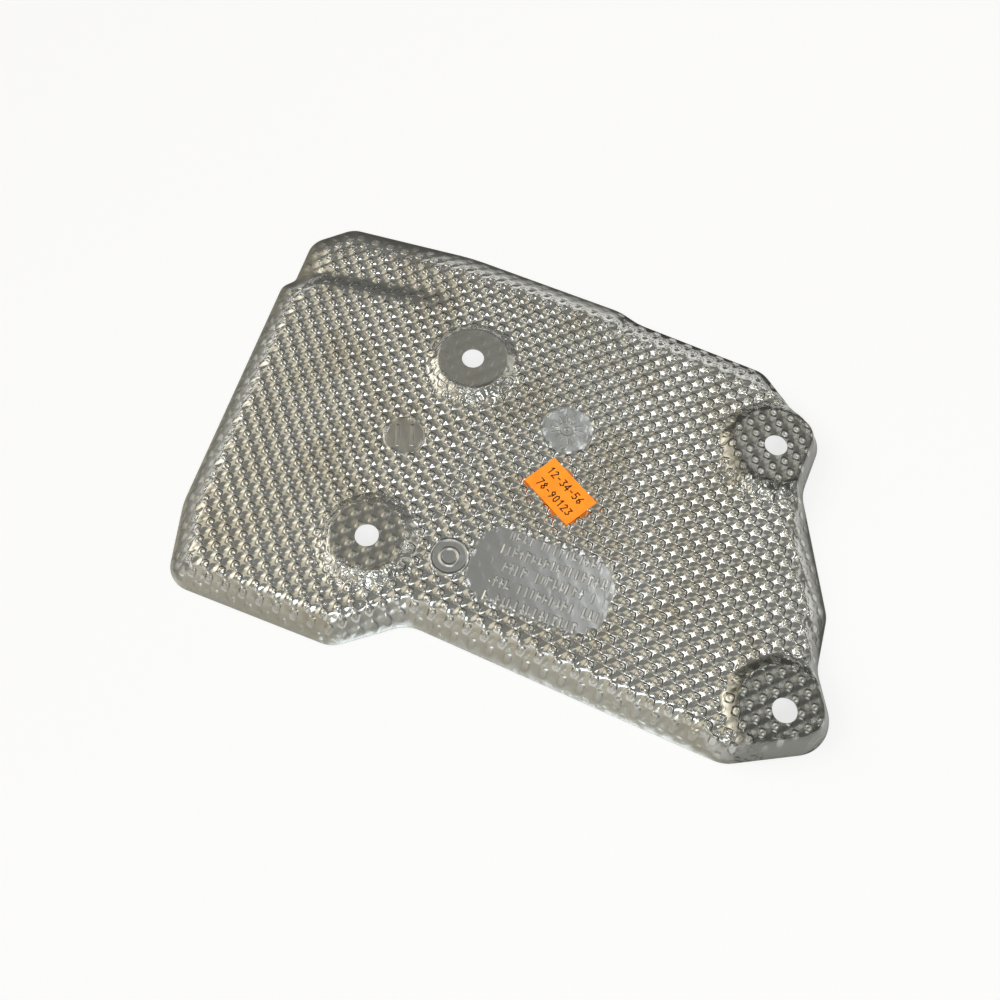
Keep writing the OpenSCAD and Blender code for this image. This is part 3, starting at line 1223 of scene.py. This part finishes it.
@dataclass(frozen=True)
class FloorFinish:
    """A white studio floor that keeps the object's shadow.

    Part of it is lit and part of it shines, and the two add up to nearly plain white beside the shadow.
    """

    colour: Triple = (0.98, 0.98, 0.98)
    white_share: float = 0.6
    white_level: float = 1.2

    def build(self) -> bpy.types.Material:
        """Makes the material.

        Returns:
            The material.
        """
        graph, made = Graph.material("studio_floor")
        matt = graph.node("ShaderNodeBsdfDiffuse", {}, {"Color": (*self.colour, 1.0)})
        shine = {"Color": (1.0, 1.0, 1.0, 1.0), "Strength": self.white_level}
        white = graph.node("ShaderNodeEmission", {}, shine)
        share = self.seen(graph) * self.white_share
        graph.surface(graph.node("ShaderNodeMixShader", {}, {0: share, 1: matt, 2: white}))
        return made

    def seen(self, graph: Graph) -> Wire:
        """Tells whether the camera, a reflection or a look through glass sees the floor.

        Args:
            graph: The graph to add to.

        Returns:
            1 where it does.
        """
        names = ("Is Camera Ray", "Is Glossy Ray", "Is Transmission Ray")
        camera, glossy, through = (graph.node("ShaderNodeLightPath", {}, {}, name) for name in names)
        return camera.math("MAXIMUM", glossy).math("MAXIMUM", through)


# Pieces


@dataclass(frozen=True)
class SheetPiece:
    """The pressed sheet."""

    form: PressForm
    normal_step: float = 0.04
    crumple_rim: float = 0.14
    crumple_wall: float = 0.22
    crumple_side: Pair = (0.1, 0.8)
    crumple_from: Pair = (-1.0, 1.0)
    crumple_to: Pair = (5.0, 10.0)
    crumple_edge: Pair = (4.0, 13.0)
    # Strength of the wear and painted shade: rims facing the sides, the far upper right and the lugs are
    # darker than rims facing the near side.
    side_wear_and_shade: float = 0.9
    near_wear_and_shade: float = 0.4
    open_wear_and_shade: float = 1.0
    top_wear: float = 0.62
    band_wear: float = 0.45
    left_wear: float = 0.4
    wear_and_shade_edge: Pair = (1.0, 11.0)
    near_turn: Pair = (0.3, 0.8)
    lug_fade: Pair = (2.0, 5.0)
    lug_edge: Pair = (22.0, 30.0)
    rim_dull: float = 0.7
    dull_edge: Pair = (3.0, 11.0)
    stamp_dull: float = 0.5
    bright_stamps: tuple[Stamp, ...] = (Stamp.LONG, Stamp.MIDDLE, Stamp.ROUND)
    name: str = "sheet"

    def crumple(self, places: Array, depth: Array) -> Array:
        """Tells how much the metal is crumpled, which it is where the press pulled it down.

        Args:
            places: Points in the plane.
            depth: How deep they lie inside the sheet.

        Returns:
            0 where the metal is smooth, 1 where it is most crumpled.
        """
        walls = []
        for pad in self.form.pads:
            gap = pad.gap(places)
            near = rise(*self.crumple_side, (pad.y - places[:, 1]) / np.maximum(gap, 1.0))
            starts = rise(*self.crumple_from, gap - pad.radius)
            ends = rise(*self.crumple_to, gap - pad.radius)
            walls.append(starts * (1.0 - ends) * mix(self.crumple_wall, 1.0, near))
        rim = 1.0 - rise(*self.crumple_edge, depth)
        return np.clip(np.max(walls, axis=0) + rim * self.crumple_rim, 0.0, 1.0)

    def wear_and_shade_share(self, places: Array, depth: Array, inward: Array) -> Array:
        """Tells how dark the metal is: partly wear, partly painted shade on the rims by the way they face.

        Args:
            places: Points in the plane.
            depth: How deep they lie inside the sheet.
            inward: The direction in which that depth grows.

        Returns:
            0 where it is clean, 1 where it is darkest.
        """
        # Painted shade by the way a rim faces: side rims darker, rims facing the near side lighter; the
        # same colour also stands for wear.
        side = mix(self.side_wear_and_shade, self.near_wear_and_shade, rise(*self.near_turn, inward[:, 1]))
        side = mix(side, self.open_wear_and_shade, self.form.open_rim(places))
        lug_gap = np.min([pad.gap(places) for pad in self.form.lug_pads], axis=0)
        side = mix(self.open_wear_and_shade, side, rise(*self.lug_edge, lug_gap))
        rim = (1.0 - rise(*self.wear_and_shade_edge, depth)) * side
        tops = [pad.top(places) * self.top_wear for pad in self.form.inner_pads]
        tops += [1.0 - rise(*self.lug_fade, pad.gap(places) - pad.radius) for pad in self.form.lug_pads]
        band = self.form.step_band(places) * self.band_wear
        left = STAMPS[Stamp.LEFT].share(places) * self.left_wear
        return np.clip(np.max([rim, *tops, band, left], axis=0), 0, 1)

    def flatness(self, places: Array, depth: Array) -> Array:
        """Tells how far the press flattened and dulled the metal.

        Args:
            places: Points in the plane.
            depth: How deep they lie inside the sheet.

        Returns:
            1 on a plain pad, less in the stamped fields and on the rim.
        """
        rim = (1.0 - rise(*self.dull_edge, depth)) * self.rim_dull * (1.0 - self.form.open_rim(places))
        stamps = self.form.stamp_share(places) * self.stamp_dull
        tops = [pad.top(places) * (1 - pad.boss_share) ** 2 for pad in self.form.pads]
        return np.max([*tops, rim, stamps], axis=0)

    def build(self, finish: AluminiumFinish) -> bpy.types.Object:
        """Makes the sheet.

        Args:
            finish: Its finish.

        Returns:
            The object.
        """
        skin = SkinCutter(self.form).cut()
        places = skin.places
        depth, inward = self.form.outline.inset(places)
        middle = self.form.height(places, np.maximum(depth, 0.0))
        normals = self.normals(places)
        half = self.form.sheet / 2
        count = len(places)
        points = np.vstack([np.c_[places, middle + half], np.c_[places, middle - half]]) * MM
        edges = skin.rim()
        faces = list(skin.polygons)
        faces += [tuple(count + k for k in reversed(p)) for p in skin.polygons]
        faces += [(b, a, a + count, b + count) for a, b in edges]
        mesh = bpy.data.meshes.new(self.name)
        mesh.from_pydata(points.tolist(), [], faces)
        self.shade(mesh, skin, edges, normals, places)
        for name, values in (
            ("boss_half", self.form.boss_half(places, np.maximum(depth, 0.0))),
            ("crumple", self.crumple(places, depth)),
            ("flat", self.flatness(places, depth)),
            ("wear_and_shade", self.wear_and_shade_share(places, depth, inward)),
            ("pressed", np.max([STAMPS[stamp].share(places) for stamp in self.bright_stamps], axis=0)),
        ):
            layer = mesh.attributes.new(name, "FLOAT", "POINT")
            layer.data.foreach_set("value", np.tile(values, 2).astype(np.float32))
        mesh.materials.append(finish.build())
        made = bpy.data.objects.new(self.name, mesh)
        bpy.context.scene.collection.objects.link(made)
        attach(made, "root")
        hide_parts("heat_shield")
        triangles = sum(len(face) - 2 for face in faces)
        LOG.info("%s: %d triangles", self.name, triangles)
        return made

    def normals(self, places: Array) -> Array:
        """Works out the normals of the upper side without the embossing, which the finish adds.

        Args:
            places: Points in the plane.

        Returns:
            A unit vector for each point.
        """
        slopes = []
        for axis in ((self.normal_step, 0.0), (0.0, self.normal_step)):
            ends = []
            for side in (1.0, -1.0):
                moved = places + np.array(axis) * side
                ends.append(self.form.smooth(moved, self.form.outline.inset(moved)[0]))
            slopes.append((ends[0] - ends[1]) / (2 * self.normal_step))
        up = np.stack([-slopes[0], -slopes[1], np.ones(len(places))], 1)
        return up / np.linalg.norm(up, axis=1)[:, None]

    def shade(
        self, mesh: bpy.types.Mesh, skin: Skin, edges: list[tuple[int, int]], normals: Array, places: Array
    ) -> None:
        """Gives the mesh its normals, with sharp corners along the cut edges.

        Args:
            mesh: The mesh.
            skin: The upper side.
            edges: Its open edges.
            normals: The normals of the upper side, without the embossing.
            places: Its points in the plane.
        """
        upper = np.concatenate([np.array(p) for p in skin.polygons])
        lower = np.concatenate([np.array(p)[::-1] for p in skin.polygons])
        runs = np.array([places[b] - places[a] for a, b in edges])
        runs /= np.linalg.norm(runs, axis=1)[:, None]
        outward = np.repeat(np.stack([runs[:, 1], -runs[:, 0], np.zeros(len(runs))], 1), 4, axis=0)
        loops = np.vstack([normals[upper], -normals[lower], outward])
        mesh.polygons.foreach_set("use_smooth", [True] * len(mesh.polygons))
        mesh.normals_split_custom_set(loops.tolist())


@dataclass(frozen=True)
class LabelPiece:
    """The paper label and the plain number marks on it."""

    x: float = 21.9
    y: float = -16.2
    angle: float = -50.8
    length: float = 26.0
    width: float = 16.0
    thickness: float = 0.15
    seat: float = 9.18
    curl: float = 2.0
    curl_from: Pair = (0.55, 0.6)
    ink_gap: float = 0.012
    steps: tuple[int, int] = (26, 16)
    stroke: float = 0.5
    digit_height: float = 3.3
    digit_pitch: float = 2.5
    rows: tuple[tuple[str, float, float], ...] = (("12-34-56", -10.4, 3.3), ("78-90123", -9.4, -3.6))

    STROKES = {
        "0": (((0.1, 0.2), (0.3, 0.0), (0.5, 0.2), (0.5, 0.8), (0.3, 1.0), (0.1, 0.8), (0.1, 0.2)),),
        "1": (((0.12, 0.75), (0.34, 1.0), (0.34, 0.0)),),
        "2": (((0.08, 0.8), (0.3, 1.0), (0.52, 0.78), (0.08, 0.0), (0.54, 0.0)),),
        "3": (((0.08, 0.95), (0.5, 0.95), (0.28, 0.58), (0.52, 0.3), (0.3, 0.0), (0.06, 0.12)),),
        "4": (((0.42, 0.0), (0.42, 1.0), (0.04, 0.32), (0.58, 0.32)),),
        "5": (
            ((0.52, 1.0), (0.12, 1.0), (0.1, 0.56), (0.4, 0.58), (0.52, 0.3), (0.32, 0.0), (0.06, 0.08)),
        ),
        "6": (
            ((0.46, 1.0), (0.14, 0.5), (0.12, 0.16), (0.32, 0.0), (0.52, 0.2), (0.4, 0.48), (0.14, 0.42)),
        ),
        "7": (((0.06, 1.0), (0.54, 1.0), (0.22, 0.0)),),
        "8": (
            ((0.3, 0.54), (0.12, 0.76), (0.3, 1.0), (0.48, 0.76), (0.3, 0.54)),
            ((0.3, 0.54), (0.08, 0.26), (0.3, 0.0), (0.52, 0.26), (0.3, 0.54)),
        ),
        "9": (((0.5, 0.62), (0.28, 0.48), (0.1, 0.76), (0.28, 1.0), (0.5, 0.8), (0.48, 0.4), (0.2, 0.0)),),
        "-": (((0.14, 0.46), (0.46, 0.46)),),
    }

    def lift(self, local: Array) -> Array:
        """Gives the height of the label's lower side above its seat.

        Args:
            local: Places along and across the label.

        Returns:
            The heights: it curls up a little towards two corners.
        """
        slant = local[:, 0] / self.length - local[:, 1] / self.width
        corners = zip((slant, -slant), self.curl_from)
        first, second = (np.clip(way - start, 0, None) for way, start in corners)
        return self.curl * (first**2 + second**2)

    def world(self, local: Array, height: Array) -> Array:
        """Turns places on the label into the row frame."""
        turned = local[:, :1] * heading(self.angle) + local[:, 1:] * crosswise(self.angle)
        return np.c_[np.array([self.x, self.y]) + turned, self.seat + height] * MM

    def paper(self, finish: PaperFinish) -> bpy.types.Object:
        """Makes the paper.

        Args:
            finish: Its finish.

        Returns:
            The object.
        """
        columns, rows = self.steps[0] + 1, self.steps[1] + 1
        xs = np.linspace(-self.length / 2, self.length / 2, columns)
        ys = np.linspace(-self.width / 2, self.width / 2, rows)
        grid = np.stack(np.meshgrid(xs, ys, indexing="ij"), -1).reshape(-1, 2)
        quads = grid_squares(np.arange(len(grid)).reshape(columns, rows))
        count = len(grid)
        lift = self.lift(grid)
        points = np.vstack([self.world(grid, lift + self.thickness), self.world(grid, lift)])
        top = [tuple(q) for q in quads.tolist()]
        skin = Skin(grid, top)
        faces = top + [tuple(count + k for k in reversed(q)) for q in top]
        faces += [(b, a, a + count, b + count) for a, b in skin.rim()]
        made = self.add("label_paper", points, faces, finish.build())
        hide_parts("paper_label")
        return made

    def ink(self, finish: InkFinish) -> bpy.types.Object:
        """Makes the number marks as thin ribbons just above the paper.

        Args:
            finish: Their finish.

        Returns:
            The object.
        """
        points: list[Array] = []
        faces: list[tuple[int, ...]] = []
        for text, start, base in self.rows:
            for index, letter in enumerate(text):
                corner = (start + index * self.digit_pitch, base - self.digit_height / 2)
                for line in self.STROKES[letter]:
                    self.ribbon(np.array(line) * self.digit_height + corner, points, faces)
        local = np.vstack(points)
        placed = self.world(local, self.lift(local) + self.thickness + self.ink_gap)
        return self.add("label_ink", placed, faces, finish.build())

    def ribbon(self, path: Array, points: list[Array], faces: list[tuple[int, ...]]) -> None:
        """Adds a stroke of even width along a path.

        Args:
            path: The path's points on the label.
            points: The points so far, added to.
            faces: The faces so far, added to.
        """
        base = sum(len(p) for p in points)
        for index, (first, second) in enumerate(zip(path[:-1], path[1:])):
            run = (second - first) / max(np.linalg.norm(second - first), TINY)
            side = np.array([-run[1], run[0]]) * self.stroke / 2
            cap = run * self.stroke / 2
            back, front = first - cap, second + cap
            points.append(np.array([back - side, front - side, front + side, back + side]))
            k = base + 4 * index
            faces.append((k, k + 1, k + 2, k + 3))

    def add(
        self, name: str, points: Array, faces: list[tuple[int, ...]], finish: bpy.types.Material
    ) -> bpy.types.Object:
        """Adds a mesh that rides on the part.

        Args:
            name: Its name.
            points: Its points in metres.
            faces: Its faces.
            finish: Its material.

        Returns:
            The object.
        """
        mesh = bpy.data.meshes.new(name)
        mesh.from_pydata(points.tolist(), [], faces)
        mesh.materials.append(finish)
        made = bpy.data.objects.new(name, mesh)
        bpy.context.scene.collection.objects.link(made)
        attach(made, "root")
        LOG.info("%s: %d faces", name, len(faces))
        return made


# Studio


@dataclass(frozen=True)
class Softbox:
    """A rectangular lamp."""

    name: str
    place: Triple
    aim: Triple
    size: Pair
    radiance: float
    colour: Triple = (1.0, 1.0, 1.0)

    def build(self) -> bpy.types.Object:
        """Makes the lamp.

        Returns:
            The object.
        """
        lamp = bpy.data.lights.new(self.name, "AREA")
        lamp.shape = "RECTANGLE"
        lamp.size, lamp.size_y = self.size
        lamp.energy = self.radiance * math.pi * self.size[0] * self.size[1]
        lamp.color = self.colour
        made = bpy.data.objects.new(self.name, lamp)
        made.location = self.place
        made.rotation_euler = (Vector(self.aim) - Vector(self.place)).to_track_quat("-Z", "Y").to_euler()
        bpy.context.scene.collection.objects.link(made)
        return made


@dataclass(frozen=True)
class Lobe:
    """A soft patch of light in the surroundings."""

    azimuth: float
    elevation: float
    inner: float
    outer: float
    colour: Triple

    def direction(self) -> Triple:
        """Gives the unit vector towards the patch; azimuth 0 is +Y, and it grows towards +X."""
        a, e = math.radians(self.azimuth), math.radians(self.elevation)
        return (math.sin(a) * math.cos(e), math.cos(a) * math.cos(e), math.sin(e))


@dataclass(frozen=True)
class Surroundings:
    """The room as the metal sees it: an even tone with soft patches."""

    base: Triple = (0.24, 0.24, 0.23)
    horizon: float = 0.4
    horizon_reach: float = 0.4
    lobes: tuple[Lobe, ...] = (
        Lobe(-58.0, 45.0, 20.0, 33.0, (0.60, 0.54, 0.40)),
        Lobe(-66.0, 32.0, 8.0, 22.0, (1.00, 0.95, 0.85)),
        Lobe(-100.0, 34.0, 8.0, 22.0, (0.80, 0.76, 0.68)),
        Lobe(62.0, 38.0, 8.0, 22.0, (0.50, 0.49, 0.44)),
        Lobe(22.0, 70.0, 3.0, 8.0, (-0.12, -0.12, -0.11)),
        Lobe(180.0, 24.0, 12.0, 38.0, (0.22, 0.21, 0.17)),
        Lobe(-140.0, 26.0, 10.0, 30.0, (0.34, 0.30, 0.21)),
    )

    def build(self) -> None:
        """Sets the scene's world."""
        world = bpy.data.worlds.new("studio")
        world.use_nodes = True
        bpy.context.scene.world = world
        graph = Graph(world.node_tree)
        towards = graph.node("ShaderNodeTexCoord", {}, {}, "Generated")
        up = graph.part(towards, "Z")
        level = up.rise(0.0, self.horizon_reach) * (1.0 - self.horizon) + self.horizon
        total = graph.scaled(self.base, level)
        for lobe in self.lobes:
            close = graph.vector("DOT_PRODUCT", towards, lobe.direction())
            share = close.rise(math.cos(math.radians(lobe.outer)), math.cos(math.radians(lobe.inner)))
            total = graph.vector("ADD", total, graph.scaled(lobe.colour, share))
        light = graph.node("ShaderNodeBackground", {}, {"Color": total, "Strength": 1.0})
        graph.surface(light, "ShaderNodeOutputWorld")


@dataclass(frozen=True)
class Studio:
    """Floor, lamps, surroundings and camera."""

    surroundings: Surroundings = Surroundings()
    lamps: tuple[Softbox, ...] = (
        Softbox("wide_strip", (0.35, 0.53, 1.2), (0.35, 0.53, 0.0), (0.10, 0.70), 4.8),
        Softbox("narrow_strip", (0.475, 0.50, 1.2), (0.475, 0.50, 0.0), (0.045, 0.38), 4.5),
        Softbox("front_window", (0.0, -0.82, 1.1), (0.0, 0.0, 0.0), (0.7, 0.45), 3.4, (0.86, 0.94, 1.0)),
    )
    floor_size: float = 6.0
    camera_place: Triple = (-0.01114, -0.19231, 0.37195)
    camera_right: Triple = (0.99971619, 0.0, 0.02382301)
    camera_up: Triple = (-0.01019828, 0.90373831, 0.42796385)
    camera_forward: Triple = (0.02152976, 0.42808534, -0.90348183)
    lens: float = 36.0
    sensor: float = 36.0
    nearest: float = 0.01

    def build(self) -> None:
        """Makes everything that isn't part of the object."""
        self.surroundings.build()
        for lamp in self.lamps:
            lamp.build()
        self.floor(FloorFinish())
        self.camera()
        settings = bpy.context.scene.view_settings
        settings.view_transform = "Standard"

    def floor(self, finish: FloorFinish) -> None:
        """Makes the floor.

        Args:
            finish: Its finish.
        """
        half = self.floor_size / 2
        mesh = bpy.data.meshes.new("floor")
        corners = [(-half, -half, 0), (half, -half, 0), (half, half, 0), (-half, half, 0)]
        mesh.from_pydata(corners, [], [(0, 1, 2, 3)])
        mesh.materials.append(finish.build())
        made = bpy.data.objects.new("floor", mesh)
        bpy.context.scene.collection.objects.link(made)

    def camera(self) -> None:
        """Places the camera at the photograph's viewpoint."""
        data = bpy.data.cameras.new("camera")
        data.sensor_width = self.sensor
        data.lens = self.lens
        data.clip_start = self.nearest
        made = bpy.data.objects.new("camera", data)
        backward = tuple(-k for k in self.camera_forward)
        axes = Matrix((self.camera_right, self.camera_up, backward)).transposed()
        made.matrix_world = Matrix.Translation(self.camera_place) @ axes.to_4x4()
        bpy.context.scene.collection.objects.link(made)
        bpy.context.scene.camera = made


def main() -> None:
    """Builds the sheet, the label and the studio."""
    logging.basicConfig(level=logging.INFO, format="%(message)s")
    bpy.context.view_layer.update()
    form = PressForm()
    SheetPiece(form).build(AluminiumFinish(form))
    label = LabelPiece()
    label.paper(PaperFinish())
    label.ink(InkFinish())
    Studio().build()


if __name__ == "__main__":
    main()
